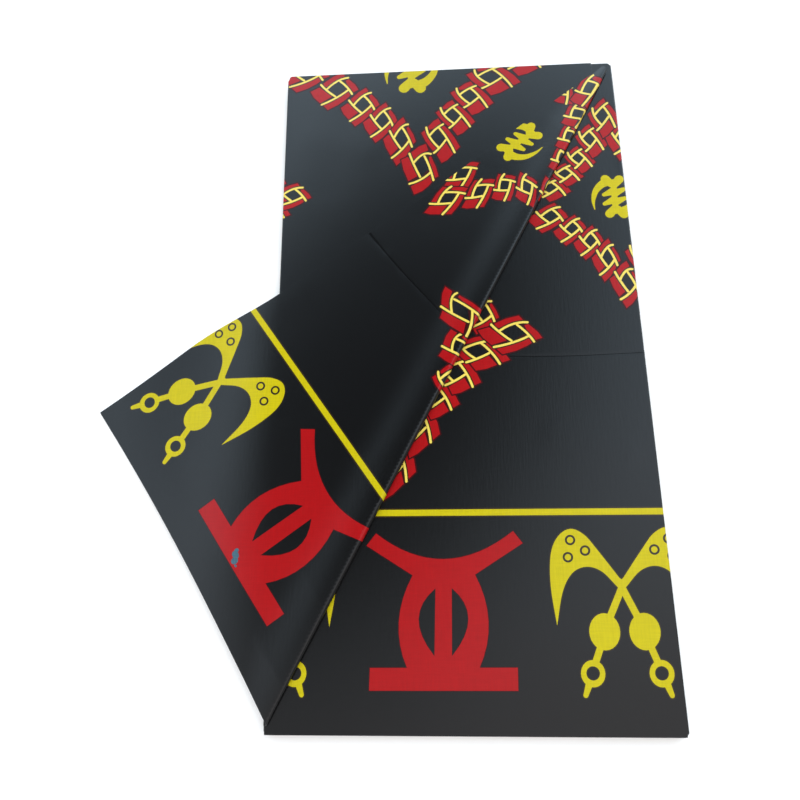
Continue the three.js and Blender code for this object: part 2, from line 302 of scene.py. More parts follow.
def swords():
    """Two curved swords that cross, hilts down. Origin: where they cross."""
    outer = smooth_line([(-49.3, -27.5), (-53.0, 1), (-52.2, 25), (-46.2, 38.5), (-36.4, 44.2),
                         (-26.2, 39.5), (-16.9, 28.1), (0, 4.8)])
    inner = smooth_line([(-3.2, 0.0), (-14.2, 11.6), (-25.7, 15.3), (-36.6, 10.5), (-44.3, -3.4),
                         (-49.3, -27.5)])
    blade = np.vstack([outer, [(3.2, 0.2), (0, -5.0)], inner[:-1]])
    hilt = [
        stroke([(2.0, 4.0), (-11.2, -24.0)], 5.2),
        disc(-14.6, -32.0, 11.3, 13.2),
        stroke([(-17.5, -41.0), (-22.5, -54.0)], 5.0),
        disc(-24.6, -61.2, 8.8, 9.4),
        stroke([(-28.0, -69.0), (-30.6, -76.0)], 5.0, 3.6),
    ]
    shapes = outlined([p for part in [blade, *hilt] for p in (part, mirrored(part))], YELLOW)
    for x, y in ((-37.0, 35.6), (-26.0, 27.4), (-39.2, 22.6)):
        for side in (-1, 1):
            shapes += [(OLIVE, disc(-side * x, y, 4.0)), (YELLOW, disc(-side * x, y, 2.4))]
    for side in (-1, 1):
        shapes += [(OLIVE, disc(side * 24.6, -61.0, 4.9)), (BLACK, disc(side * 24.6, -61.0, 4.2))]
    return shapes


def gye_nyame():
    """The knuckled stem between two crescents, alike when turned by half. Origin: its middle."""
    crescent = smooth_line([(-15.6, -4.6), (-12.6, -10.6), (-6.8, -15.8), (0, -18.3), (5.5, -19.0),
                            (11.2, -18.6)])
    parts = [
        stroke([(-15.0, 0.8), (15.0, -0.8)], 5.2),
        stroke([(-5.4, -0.6), (-2.6, -8.9)], 7.6, 3.6),
        stroke([(3.4, -0.8), (6.6, -9.4)], 7.6, 3.6),
        stroke([(11.5, -1.0), (16.9, -6.2)], 6.6, 8.2),
        stroke([(12.5, 1.0), (18.6, 5.9)], 6.6, 8.0),
        stroke(crescent, 8.4, 0.7),
    ]
    parts += [p * [-1, -1] for p in parts]
    return outlined(parts, YELLOW)


LINK_UNIT = 0.88          # the tables below are in parts of a common link, 25 from one link to the next
LINK_BANDS = [
    [(-12.6, -2.2), (-10.2, 8.0), (-6.5, 16.5), (-2.0, 14.9), (-4.5, 8.3), (-8.3, -5.3)],
    [(0.4, 11.0), (1.8, 14.2), (9.6, 12.6), (14.9, 9.8), (12.9, 4.3), (5.5, 7.0)],
    [(9.1, 3.6), (13.0, 1.0), (12.6, -4.0), (10.6, -13.0), (6.8, -22.4), (1.0, -20.9), (5.6, -8.0)],
    [(-12.7, -6.9), (-16.0, -15.3), (-10.3, -18.7), (-2.2, -20.5), (1.9, -8.5), (-6.2, -7.5)],
]
LINK_STRANDS = [
    [(-6.4, -5.0), (-4.2, 7.0), (0.7, 14.8)],
    [(-2.4, 7.9), (5.6, 6.2), (13.0, 2.8)],
    [(8.2, 5.2), (5.0, -7.6), (-0.5, -20.5)],
    [(3.4, -7.2), (-5.6, -6.2), (-13.0, -4.2)],
]
LINK_BACKING = [
    (-12.6, -2.2), (-10.2, 8.0), (-6.5, 16.5), (1.8, 14.2), (9.6, 12.6), (14.9, 9.8), (13.0, 1.0),
    (12.6, -4.0), (10.6, -13.0), (6.8, -22.4), (-2.2, -20.5), (-10.3, -18.7), (-16.0, -15.3), (-12.7, -6.9),
]
LINK_WINDOW = [(-5.4, -5.4), (-3.8, 6.8), (5.6, 5.8), (4.0, -7.2)]
STRAND_WIDTH = 2.0
STRAND_EDGE = 1.0
SEAM_HALF = 0.8


def link(along=1.0, across=1.0, skew=0.0):
    """One link of the chain: a dark window, four strands that each run past a corner, red bands outside."""
    def sized(points):
        return np.array(points, float) @ np.array([[along, 0], [skew, across]]) * LINK_UNIT

    shapes = [(SEAM, grown(sized(LINK_BACKING), SEAM_HALF))]
    shapes += [(RED, grown(sized(band), -SEAM_HALF / 2)) for band in LINK_BANDS]
    lines = [through(*sized(strand), steps=6) for strand in LINK_STRANDS]
    shapes += [(OLIVE, stroke(line, STRAND_WIDTH, grow=STRAND_EDGE)) for line in lines]
    shapes += [(BLACK, sized(LINK_WINDOW))]
    shapes += [(CHAIN_YELLOW, stroke(line, STRAND_WIDTH)) for line in lines]
    return shapes


def chain(links):
    """Links given as x, y, turn in degrees, their scale along and across the chain, and their skew."""
    return [shape for x, y, turn, *scales in links for shape in placed(link(*scales), x, y, turn)]


LINE_HEIGHT = 162.5
LINE_WIDTH = 5.0
LINE_FALL = 0.0137        # how far the panels' lines drop for each millimetre to the right


def border_line(x0, x1, y, fall=0.0):
    def band(half):
        return [(x0, y - x0 * fall - half), (x1, y - x1 * fall - half), (x1, y - x1 * fall + half),
                (x0, y - x0 * fall + half)]

    return [(OLIVE, band(LINE_WIDTH / 2 + 1.2)), (YELLOW, band(LINE_WIDTH / 2))]


# ---- Layout on each panel ----

REPEAT = 272.0
LEAN = 0.032

LOWER_CHAINS = [
    # x, y, turn, along, across, skew
    (87.6, 158.7, 38, 1.00, 0.80, -0.34),
    (102.0, 172.8, 45, 0.86, 0.78, -0.22),
    (115.1, 187.9, 56, 0.87, 0.82, 0.02),
    (126.9, 207.4, 58, 1.04, 0.89, 0.17),
    (156.3, 206.0, -57, 1.22, 0.85, -0.53),
    (140.4, 231.4, 58, 1.28, 0.88, 0.24),
    (86.3, 130.5, -38, 1.03, 0.94, 0.11),
    (104.2, 117.2, -39, 0.86, 0.89, -0.05),
    (119.1, 104.3, -46, 0.88, 0.88, -0.25),
    (161.3, 86.6, 57, 1.20, 1.00, 0.24),
    (132.4, 87.1, -57, 1.08, 0.85, -0.56),
    (146.9, 63.2, -58, 1.33, 0.81, -0.59),
    (23.2, 41.1, -54, 1.20, 0.90, -0.31),
    (-55.4, -91.6, 50, 1.76, 0.92, 0.12),
    (-35.7, -59.3, 48, 1.64, 0.97, 0.08),
    (-20.7, -34.3, 40, 1.29, 0.97, -0.24),
    (-2.6, -13.0, 36, 1.23, 1.06, -0.25),
    (16.5, 5.4, 29, 1.31, 1.10, -0.62),
    (47.9, 20.9, -36, 1.60, 1.11, 0.31),
]
UPPER_CHAINS = [
    # x, y, turn, along, across, skew
    (-139.2, 302.6, -36, 1.60, 1.15, 0.20),
    (-107.9, 282.1, -37, 1.42, 1.25, 0.04),
    (-83.1, 262.0, -42, 1.23, 1.17, -0.22),
    (-63.8, 242.7, -49, 1.19, 1.10, -0.40),
    (-45.8, 221.0, -56, 1.39, 1.06, -0.72),
    (66.6, 303.4, 37, 1.45, 1.31, -0.54),
    (39.9, 282.8, 38, 1.39, 1.24, -0.48),
    (19.5, 262.5, 47, 1.15, 1.18, -0.10),
    (3.3, 241.9, 57, 1.10, 1.13, 0.11),
    (-11.2, 218.4, 60, 1.27, 1.19, 0.36),
    (-26.9, 189.1, -64, 1.78, 1.02, -0.66),
    (-168.2, 183.1, -42, 1.11, 0.80, -0.14),
    (-170.9, 155.4, 30, 0.97, 1.00, -0.45),
    (-147.8, 166.8, -37, 1.21, 0.88, 0.19),
]
FLAP_CHAINS = [
    # x, y, turn, along, across, skew
    (9.5, 177.5, 9, 1.20, 0.90, 0.30),
    (88.0, 152.0, -28, 0.90, 0.90, -0.40),
    (67.0, 158.9, -25, 0.85, 0.93, -0.44),
    (47.3, 162.6, 3, 0.86, 0.88, 0.06),
    (24.9, 158.1, 13, 1.10, 0.87, 0.35),
    (-4.1, 152.9, 5, 1.34, 0.88, 0.32),
    (101.0, 187.0, -10, 0.85, 0.85, 0.00),
    (108.5, 209.0, -9, 0.85, 0.85, 0.00),
    (117.5, 232.8, -11, 1.00, 0.85, -0.05),
    (106.0, 261.5, -5, 0.85, 0.90, -0.25),
    (130.3, 260.6, -15, 0.95, 1.16, 0.09),
    (-8.0, -22.0, 49, 1.10, 0.90, 0.00),
    (3.5, 6.2, -23, 1.53, 0.95, -0.41),
    (4.1, 41.2, -30, 1.79, 1.03, -0.90),
]

SELVEDGE_Y = BOTTOM_LEFT[1]
LINE_Y = SELVEDGE_Y + LINE_HEIGHT
STOOL_UP = 31.0
SWORDS_UP = 104.0


def panel_print(chains, stool_x, swords_x):
    shapes = border_line(-180, 180, LINE_Y, LINE_FALL)
    for x in swords_x:
        shapes += placed(swords(), x, SELVEDGE_Y + SWORDS_UP, lean=LEAN)
    for x in stool_x:
        shapes += placed(stool(), x, SELVEDGE_Y + STOOL_UP, lean=LEAN)
    return shapes + chain(chains)


lower_print = (panel_print(LOWER_CHAINS, [-19.0], [118.0, 118.0 - REPEAT])
               + placed(gye_nyame(), 144.0, 146.5, -88))
upper_print = chain(UPPER_CHAINS) + placed(gye_nyame(), -35.0, 299.5, -88, 1.3, 1.3)
underside_seen = (panel_print(UPPER_CHAINS, [-120.0, -120.0 + REPEAT], [16.0])
                   + placed(gye_nyame(), 70.0, 196.0, -88) + placed(gye_nyame(), -30.0, 90.0, -80)
                   + chain([(x, y + 6 * math.sin(x / 14), 0, 1.08, 1.0) for x, y in
                            [(-148 + 24 * i, 24 - abs(i - 6) * 9) for i in range(13)]]))

underside_print = [(ink, np.array(polygon) * [-1, 1]) for ink, polygon in underside_seen]

# On the flap, print that follows the selvedge is laid from the turned corner: a along it, h up from it.
A_AXIS = np.array([0.5686, -0.8226])
FLAP_TURN = math.degrees(math.atan2(A_AXIS[1], A_AXIS[0]))
FLAP_SWORDS = (44.7, 102.3)
FLAP_STOOL = (184.8, 30.5)
STAIN_SPOTS = [
    # a, h, radius along a, radius along h
    (179.0, 38.0, 3.6, 2.8), (182.5, 35.0, 2.8, 3.2), (176.6, 40.6, 1.8, 2.0), (186.4, 33.6, 1.3, 0.9),
]


def on_flap(shapes, a, h):
    h_axis = np.array([-A_AXIS[1], A_AXIS[0]])
    at = FLAP_CORNER + a * A_AXIS + h * h_axis
    return placed(shapes, at[0], at[1], FLAP_TURN)


flap_print = (on_flap(border_line(-40, 420, 0), 0, 161.8)
              + on_flap(swords(), *FLAP_SWORDS) + on_flap(stool(), *FLAP_STOOL)
              + on_flap([(STAIN, disc(a, h, rx, ry, 9)) for a, h, rx, ry in STAIN_SPOTS], 0, 0)
              + placed(gye_nyame(), 63.6, 207.6, 36.4) + chain(FLAP_CHAINS))


def dull_lines(creases):
    """Where the glaze is broken along a sharp crease."""
    shapes = []
    for crease in creases:
        if "dull" in crease:
            start, end = np.array(crease["start"], float), np.array(crease["end"], float)
            length = float(np.linalg.norm(end - start))
            side = (end - start) / length
            along = np.linspace(0.04, 0.96, 24)
            line = start + np.outer(along, end - start)
            line -= np.outer(crease_bow(length, along), [-side[1], side[0]])
            shapes += [(CREASED, stroke(line, crease["dull"], 0.5 * crease["dull"]))]
    return shapes


# ---- Printed pieces ----

def inside(polygon, points):
    x, y = points[:, 0], points[:, 1]
    hit = np.zeros(len(points), bool)
    for (x0, y0), (x1, y1) in zip(polygon, np.roll(polygon, -1, axis=0)):
        if y0 != y1:
            hit ^= ((y0 > y) != (y1 > y)) & (x < (x1 - x0) * (y - y0) / (y1 - y0) + x0)
    return hit


def divided(loop, spacing_at):
    """A loop with points added, so that it can follow a curved surface."""
    ahead = np.roll(loop, -1, axis=0)
    spacing = spacing_at((loop + ahead) / 2)
    steps = np.maximum(1, np.ceil(np.linalg.norm(ahead - loop, axis=1) / spacing)).astype(int)
    return np.vstack([a + (b - a) * np.arange(n)[:, None] / n for a, b, n in zip(loop, ahead, steps)])


LONGEST_SIDE = 14         # of a shape, before its sides follow the surface
SNAP = 1e-4               # points closer than this are one
SLIVER = 1e-7             # triangles smaller than this are left out


def cut_into_inks(outline, shapes, inner_points, spacing_at):
    """Triangles of the outline's inside, whose sides follow every shape's edge, and the ink of each."""
    verts, edges, kept = [], [], []
    low, high = outline.min(axis=0) - 1, outline.max(axis=0) + 1
    for ink, polygon in shapes:
        polygon = np.array(polygon, float)
        if (polygon.max(axis=0) > low).all() and (polygon.min(axis=0) < high).all():
            kept.append((ink, divided(sampled(polygon, LONGEST_SIDE), spacing_at)))
    for loop in [outline] + [polygon for _, polygon in kept]:
        first = len(verts)
        verts += [Vector(p) for p in loop]
        edges += [(first + i, first + (i + 1) % len(loop)) for i in range(len(loop))]
    verts += [Vector(p) for p in inner_points]
    out_verts, _, faces, *_ = delaunay_2d_cdt(verts, edges, [], 0, SNAP)
    points = np.array([v[:] for v in out_verts], float)
    faces = np.array(faces, int)
    corners = points[faces]
    middle = corners.mean(axis=1)
    e1, e2 = corners[:, 1] - corners[:, 0], corners[:, 2] - corners[:, 0]
    area = (e1[:, 0] * e2[:, 1] - e1[:, 1] * e2[:, 0]) / 2
    faces[area < 0] = faces[area < 0][:, ::-1]
    keep = inside(outline, middle) & (np.abs(area) > SLIVER)
    faces, middle = faces[keep], middle[keep]
    ink_of = np.full(len(faces), BLACK)
    for ink, polygon in kept:
        near = np.flatnonzero((middle >= polygon.min(axis=0)).all(axis=1)
                              & (middle <= polygon.max(axis=0)).all(axis=1))
        ink_of[near[inside(polygon, middle[near])]] = ink
    used, faces = np.unique(faces, return_inverse=True)
    return points[used], faces.reshape(-1, 3), ink_of


RIM = [
    # share of the wall's depth, how far out where two cloth edges show: a groove lies between them
    (0.08, 0.14), (0.28, 0.34), (0.50, -0.35), (0.72, 0.34), (0.92, 0.14),
]
RIM_TILT = 0.9            # how much of the way over the rim's normals turn
SLOPE_STEP = 0.05         # how far apart points are for the surface's slope


def printed_shell(name, surface, outline, shapes, inner_points, is_fold, spacing_at):
    """A closed thin shell on a surface. Its rim is round at a fold, and shows two cloth edges elsewhere."""
    points, faces, ink_of = cut_into_inks(outline, shapes, inner_points, spacing_at)
    count = len(points)
    middle = surface(points)
    du, dv = (surface(points + step) - surface(points - step) for step in np.eye(2) * SLOPE_STEP)
    normal = np.cross(du, dv)
    normal /= np.linalg.norm(normal, axis=1)[:, None]
    top = middle + normal * WALL / 2
    bottom = middle - normal * WALL / 2

    sides = {}
    for face, ink in zip(faces, ink_of):
        for a, b in ((face[0], face[1]), (face[1], face[2]), (face[2], face[0])):
            if (b, a) in sides:
                del sides[(b, a)]
            else:
                sides[(a, b)] = ink
    out = np.zeros((count, 2))
    for a, b in sides:
        way = points[b] - points[a]
        side = np.array([way[1], -way[0]]) / (np.linalg.norm(way) + 1e-9)
        out[a] += side
        out[b] += side
    rim_of = {v: i for i, v in enumerate(sorted({v for pair in sides for v in pair}))}
    rim = np.array(sorted(rim_of), int)
    away = out[rim] / (np.linalg.norm(out[rim], axis=1)[:, None] + 1e-9)
    away = away[:, :1] * du[rim] + away[:, 1:] * dv[rim]
    away /= np.linalg.norm(away, axis=1)[:, None] + 1e-12
    folded = is_fold(points[rim])

    verts, normals = [top, bottom], [normal, -normal]
    uv = [points, points]
    for depth, reach in RIM:
        round_reach = WALL / 2 * math.sqrt(max(1 - (1 - 2 * depth) ** 2, 0))
        distance = np.where(folded, round_reach, reach)[:, None]
        verts.append(top[rim] + away * distance - normal[rim] * depth * WALL)
        tilt = (1 - 2 * depth) * RIM_TILT
        normals.append(away * math.sqrt(1 - tilt ** 2) + normal[rim] * tilt)
        uv.append(points[rim] + out[rim] * depth)
    tris = [tuple(f) for f in faces] + [(c + count, b + count, a + count) for a, b, c in faces]
    inks = list(ink_of) * 2
    for (a, b), ink in sides.items():
        rows = [2 * count + k * len(rim) for k in range(len(RIM))]
        levels = [(a, b)] + [(row + rim_of[a], row + rim_of[b]) for row in rows] + [(a + count, b + count)]
        for (a0, b0), (a1, b1) in zip(levels, levels[1:]):
            tris += [(b0, a0, a1), (b0, a1, b1)]
            inks += [ink, ink]
    verts, normals, uv = (np.vstack(part) for part in (verts, normals, uv))
    return cloth_mesh(name, verts, normals, tris, inks, uv)


def cloth_mesh(name, verts, normals, tris, inks, uv):
    mesh = bpy.data.meshes.new(name)
    mesh.from_pydata((verts / 1000).tolist(), [], [tuple(int(i) for i in t) for t in tris])
    for material in INKS:
        mesh.materials.append(material)
    mesh.polygons.foreach_set("material_index", np.array(inks, np.int32))
    mesh.polygons.foreach_set("use_smooth", np.ones(len(tris), bool))
    layer = mesh.uv_layers.new(name="cloth")
    loops = np.empty(len(mesh.loops), np.int32)
    mesh.loops.foreach_get("vertex_index", loops)
    layer.data.foreach_set("uv", (uv[loops] / 1000).astype(np.float32).ravel())
    if normals is not None:
        mesh.normals_split_custom_set_from_vertices(normals.tolist())
    mesh.validate()
    piece = bpy.data.objects.new(name, mesh)
    bpy.context.collection.objects.link(piece)
    return piece


# ---- Materials: one cloth, in each ink ----

def srgb(*colour):
    """A screen colour from 0 to 255, as the light that it stands for."""
    return tuple(c / 255 / 12.92 if c <= 10 else ((c / 255 + 0.055) / 1.055) ** 2.4 for c in colour) + (1,)


THREAD = 0.00045          # metres from one thread to the next
WAVE_UNIT = 0.314         # metres from crest to crest of a wave texture at scale 1
SLUBS = (900, 60)         # specks a metre, across a thread and along it
PATCHES = (14, 11)        # soft patches of wear a metre, along x and y
SHADE_SPAN = (0.45, 1.15 / 1.2)
ROUGHNESS_SPREAD = 0.08
RELIEF = {
    # strength and metres
    "threads": (0.35, 0.00012), "patches": (0.5, 0.0012), "glaze": (0.5, 0.00006),
}
GLAZE = 0.9               # the wax finish: a thin gloss over the cotton
GLAZE_ROUGHNESS = 0.18
COTTON_SHINE = 0.03
NAP, NAP_ROUGHNESS = 0.01, 0.45


def printed_cotton(name, colour, roughness, nap_tint, variation, glaze):
    """Plain weave cotton in one ink: threads in both directions, slubs, soft patches of wear."""
    material = bpy.data.materials.new(name)
    material.use_nodes = True
    nodes, links = material.node_tree.nodes, material.node_tree.links
    shader = next(n for n in nodes if n.type == "BSDF_PRINCIPLED")
    shader.inputs["Sheen Weight"].default_value = NAP
    shader.inputs["Sheen Roughness"].default_value = NAP_ROUGHNESS
    shader.inputs["Sheen Tint"].default_value = nap_tint
    shader.inputs["Specular IOR Level"].default_value = COTTON_SHINE
    shader.inputs["Coat Weight"].default_value = glaze
    shader.inputs["Coat Roughness"].default_value = GLAZE_ROUGHNESS

    def node(kind, **settings):
        made = nodes.new(kind)
        for key, value in settings.items():
            setattr(made, key, value)
        return made

    place = node("ShaderNodeUVMap", uv_map="cloth")

    def noise(scale_x, scale_y, detail):
        mapping = node("ShaderNodeMapping")
        mapping.inputs["Scale"].default_value = (scale_x, scale_y, 1)
        texture = node("ShaderNodeTexNoise")
        texture.inputs["Scale"].default_value = 1
        texture.inputs["Detail"].default_value = detail
        links.new(place.outputs["UV"], mapping.inputs["Vector"])
        links.new(mapping.outputs["Vector"], texture.inputs["Vector"])
        return texture.outputs["Fac"]

    def wave(direction):
        texture = node("ShaderNodeTexWave", bands_direction=direction, wave_profile="SIN")
        texture.inputs["Scale"].default_value = WAVE_UNIT / THREAD
        texture.inputs["Distortion"].default_value = 0.6
        texture.inputs["Detail"].default_value = 1
        links.new(place.outputs["UV"], texture.inputs["Vector"])
        return texture.outputs["Fac"]

    def math_node(operation, a, b):
        made = node("ShaderNodeMath", operation=operation)
        for socket, value in zip(made.inputs, (a, b)):
            if isinstance(value, (int, float)):
                socket.default_value = value
            else:
                links.new(value, socket)
        return made.outputs[0]

    def bump(of, height):
        made = node("ShaderNodeBump")
        made.inputs["Strength"].default_value, made.inputs["Distance"].default_value = RELIEF[of]
        links.new(height, made.inputs["Height"])
        return made

    warp, weft = noise(*SLUBS, 2), noise(*SLUBS[::-1], 2)
    patches = noise(*PATCHES, 3)
    threads = math_node("ADD", warp, weft)
    shade = math_node("ADD", math_node("MULTIPLY", threads, 0.6), math_node("MULTIPLY", patches, 0.4))
    ramp = node("ShaderNodeValToRGB")
    base = srgb(*colour)
    for stop, position, share in zip(ramp.color_ramp.elements, SHADE_SPAN, (1 - variation, 1 + variation)):
        stop.position = position
        stop.color = tuple(min(c * share, 1) for c in base[:3]) + (1,)
    links.new(shade, ramp.inputs["Fac"])
    links.new(ramp.outputs["Color"], shader.inputs["Base Color"])
    rough = math_node("ADD", roughness - ROUGHNESS_SPREAD,
                      math_node("MULTIPLY", patches, 2 * ROUGHNESS_SPREAD))
    links.new(rough, shader.inputs["Roughness"])

    weave = math_node("MULTIPLY", wave("X"), wave("Y"))
    fine = bump("threads", math_node("ADD", math_node("MULTIPLY", weave, 0.5), threads))
    broad = bump("patches", patches)
    links.new(fine.outputs["Normal"], broad.inputs["Normal"])
    links.new(broad.outputs["Normal"], shader.inputs["Normal"])
    links.new(bump("glaze", threads).outputs["Normal"], shader.inputs["Coat Normal"])
    return material


GREY_NAP, RED_NAP, YELLOW_NAP = (0.80, 0.88, 1.0, 1), (1, 0.8, 0.8, 1), (1, 1, 0.9, 1)
INKS = [printed_cotton(*row) for row in (
    # name, colour, roughness, nap's tint, variation, glaze
    ("cotton_black", (9, 8, 8), 0.55, GREY_NAP, 0.25, GLAZE),
    ("cotton_red", (160, 8, 12), 0.55, RED_NAP, 0.12, 0.55),
    ("cotton_yellow", (190, 172, 6), 0.55, YELLOW_NAP, 0.12, 0.45),
    ("cotton_pale_yellow", (228, 200, 84), 0.55, YELLOW_NAP, 0.12, GLAZE),
    ("cotton_dark_red", (56, 5, 8), 0.55, RED_NAP, 0.12, 0.55),
    ("cotton_olive", (40, 26, 6), 0.55, YELLOW_NAP, 0.12, GLAZE),
    ("cotton_stain", (56, 84, 96), 0.6, GREY_NAP, 0.4, GLAZE),
    ("cotton_creased", (9, 8, 8), 0.7, GREY_NAP, 0.25, 0.3),
)]

# ---- Building the printed pieces ----

def grid(low, high, spacing, keep):
    xs = np.arange(low[0], high[0] + spacing, spacing)
    ys = np.arange(low[1], high[1] + spacing, spacing)
    points = np.array([(x + (j % 2) * spacing / 2, y) for j, y in enumerate(ys) for x in xs])
    return points[keep(points)]


def sampled(corners, spacing):
    out = []
    for a, b in zip(corners, list(corners[1:]) + [corners[0]]):
        a, b = np.array(a, float), np.array(b, float)
        steps = max(1, round(float(np.linalg.norm(b - a)) / spacing))
        out += [a + (b - a) * i / steps for i in range(steps)]
    return np.array(out)


EDGE_INSET = 0.5
OUTLINE_SPACING = 6
FOLD_UNDER = SIDE_FOLD_RADIUS * (math.pi - 1) + 0.3     # cloth past the start of a side fold's round
FAR_INSET = SIDE_FOLD_RADIUS + 0.55 + 0.3
PLAIN_SPACING = 7         # between points where a panel is flat
CREASE_SPACING = 1.6


def side_fold_points(side, sign, y0, y1):
    """Points round a side fold, so that its round keeps its shape."""
    turns = np.concatenate([[-2.2, -0.8], np.linspace(0, math.pi * 0.97, 9)])
    return np.array([(side(y) + sign * SIDE_FOLD_RADIUS * (1 - turn), y)
                     for y in np.arange(y0 + 3, y1 - 2, 2.5) for turn in turns])


def lower_outline():
    y_low, inset = SELVEDGE_Y + 0.3, EDGE_INSET
    over = FOLD_UNDER - SIDE_FOLD_RADIUS + 1.0
    return sampled([
        (BOTTOM_LEFT[0] + FAR_INSET, y_low), (BOTTOM_RIGHT[0] + over, y_low),
        (TOP_RIGHT[0] + over, top_y(TOP_RIGHT[0]) - inset),
        (TOP_LEFT[0] + FAR_INSET, top_y(TOP_LEFT[0]) - inset)], OUTLINE_SPACING)


def near_top(points):
    return points[:, 1] > top_y(points[:, 0]) - 2


def panel_spacing(inward):
    """Between points on a shape's side: close together near a side fold."""
    return np.where(inward < 3, 0.7, 6.0)


outline = lower_outline()
lower = printed_shell(
    "lower_panel_cloth", lower_surface, outline, dull_lines(LOWER_CREASES) + lower_print,
    np.vstack([grid((-150, -286), (149, 284), PLAIN_SPACING, lambda p: inside(outline, p)),
               grid((20, -8), (150, 8), CREASE_SPACING, lambda p: inside(outline, p)),
               side_fold_points(right_x, -1, SELVEDGE_Y, 290)]),
    near_top, lambda p: panel_spacing(right_x(p[:, 1]) - p[:, 0]))


def lower_run_end(start):
    radius = roll_radius(start)
    to_side = (LEFT_SLOPE * start + SHORTENING * radius) / (1 + LEFT_SLOPE * SLANT)
    return np.minimum(QUARTER * radius + LOWER_LEG, to_side - 0.3)


EDGE_BOW = 7.0            # how far the turned end lies inside a straight line
SELVEDGE_BOW = 4.5        # how far the turned selvedge does


def upper_run_end(start):
    straight = EDGE_SLOPE * (FOLD_LENGTH - start) + SHORTENING * roll_radius(start)
    straight = straight / (1 + EDGE_SLOPE * SLANT)
    share = start / FOLD_LENGTH
    return straight - EDGE_BOW * smooth((share - 0.18) / 0.16) * smooth((1 - share) / 0.45)


def row_point(start, run):
    start, run = np.broadcast_arrays(np.asarray(start, float), np.asarray(run, float))
    along, across = start + SLANT * run, run - SHORTENING * roll_radius(start)
    return FOLD_FOOT + along[..., None] * ALONG + across[..., None] * ACROSS


def upper_outline():
    """From the left side's fold to just short of the flap's lower leg."""
    starts = np.linspace(60, FOLD_LENGTH - FLAP_LAST_ROW, 80)
    radius = roll_radius(starts)
    run = lower_run_end(starts) + 0.3
    along, across = starts - SLANT * run, radius + run - QUARTER * radius
    hem = FOLD_FOOT + along[:, None] * ALONG + across[:, None] * ACROSS
    over = FOLD_UNDER - SIDE_FOLD_RADIUS + 1.0
    foot_y, head = hem[0, 1] + 1.0, hem[-1]
    top = [(head[0], top_y(head[0]) - EDGE_INSET), (TOP_LEFT[0] - over, top_y(TOP_LEFT[0]) - EDGE_INSET),
           (left_x(foot_y) - over, foot_y)]
    return np.vstack([hem, sampled(top, OUTLINE_SPACING)[:-2]])


outline = upper_outline()
upper = printed_shell(
    "upper_panel_cloth", upper_surface, outline, upper_print,
    np.vstack([grid((-152, -240), (150, 296), PLAIN_SPACING, lambda p: inside(outline, p)),
               side_fold_points(left_x, 1, -200, 298)]),
    near_top, lambda p: panel_spacing(p[:, 0] - left_x(p[:, 1])))


def flap_outline():
    first, last = FLAP_FIRST_ROW, FOLD_LENGTH - FLAP_LAST_ROW
    starts = np.linspace(first, last, 160)
    low, high = -float(lower_run_end(first)), float(upper_run_end(first))
    roll = QUARTER * float(roll_radius(first))
    runs = np.concatenate([np.linspace(low, roll, 14)[:-1], np.linspace(roll, high, 70)])
    bow = SELVEDGE_BOW * np.sin(math.pi * np.clip(runs / high, 0, 1))
    selvedge = row_point(first, runs) + bow[:, None] * ALONG
    end = row_point(starts[1:], upper_run_end(starts[1:]))
    head = row_point(last, np.linspace(float(upper_run_end(last)), -float(lower_run_end(last)), 12)[1:-1])
    leg = row_point(starts[::-1], -lower_run_end(starts[::-1]))
    return np.vstack([selvedge, end, head, leg[:-1]])


def flap_inner(outline):
    rows = np.arange(FLAP_FIRST_ROW + 2, FOLD_LENGTH - FLAP_LAST_ROW - 1, 3.4)
    turns = np.radians(np.arange(-90, 91, 12))
    roll = np.vstack([row_point(rows, roll_radius(rows) * turn) for turn in turns])
    near = np.vstack([row_point(rows, roll_radius(rows) * QUARTER + gap) for gap in (2, 5, 9, 14, 20)])
    crease = grid((-90, 38), (-12, 132), 2.2, lambda p: np.abs(crease_height(FLAP_CREASES[:2], p)) > 0.02)
    plain = grid((-316, -292), (156, 292), 6, lambda p: flap_rows(p)[2] > 6 * QUARTER + 14)
    points = np.vstack([roll, near, crease, plain])
    return points[inside(grown(outline, -0.8), points)]


outline = flap_outline()
flap = printed_shell(
    "turned_flap_cloth", flap_surface, outline, dull_lines(FLAP_CREASES) + flap_print, flap_inner(outline),
    lambda points: np.zeros(len(points), bool),
    lambda p: np.where(np.abs(flap_rows(p)[2]) < 12, 1.6, 4.5))

# ---- The hidden panels: one layered block, and the lowest panel's printed face ----

LAYERS = 12
LAYER = STACK_HEIGHT / LAYERS
LEVELS = [0.03, 0.2, 0.5, 0.8, 0.97]      # heights of each layer's rows of points, in parts of it
STACK_SPACING = 6.0
SELVEDGE_ROUND = 0.22
FOLDED_SIDES = ("left", "right")          # where two layers are one cloth, folded
STACK_SIDES = {
    # side: from, to, the way in, the side before it
    "bottom": (BOTTOM_LEFT, BOTTOM_RIGHT, (0, 1), "left"),
    "right": (BOTTOM_RIGHT, TOP_RIGHT, (-1, 0), "bottom"),
    "top": (TOP_RIGHT, TOP_LEFT, (0, -1), "right"),
    "left": (TOP_LEFT, BOTTOM_LEFT, (1, 0), "top"),
}
INSETS = {"left": (0.3, 1.3), "right": (0.3, 1.4), "top": (0.2, 1.5), "bottom": (0.2, 1.8)}    # least, range
TOP_RIGHT_INSET = 2.6                     # of the topmost layer, under the lower panel's fold
EDGE_PRINTS = (("left", 586, 4), ("right", 586, 4), ("top", 311, 3))    # side, length, inks that reach it
dice = random.Random(11)


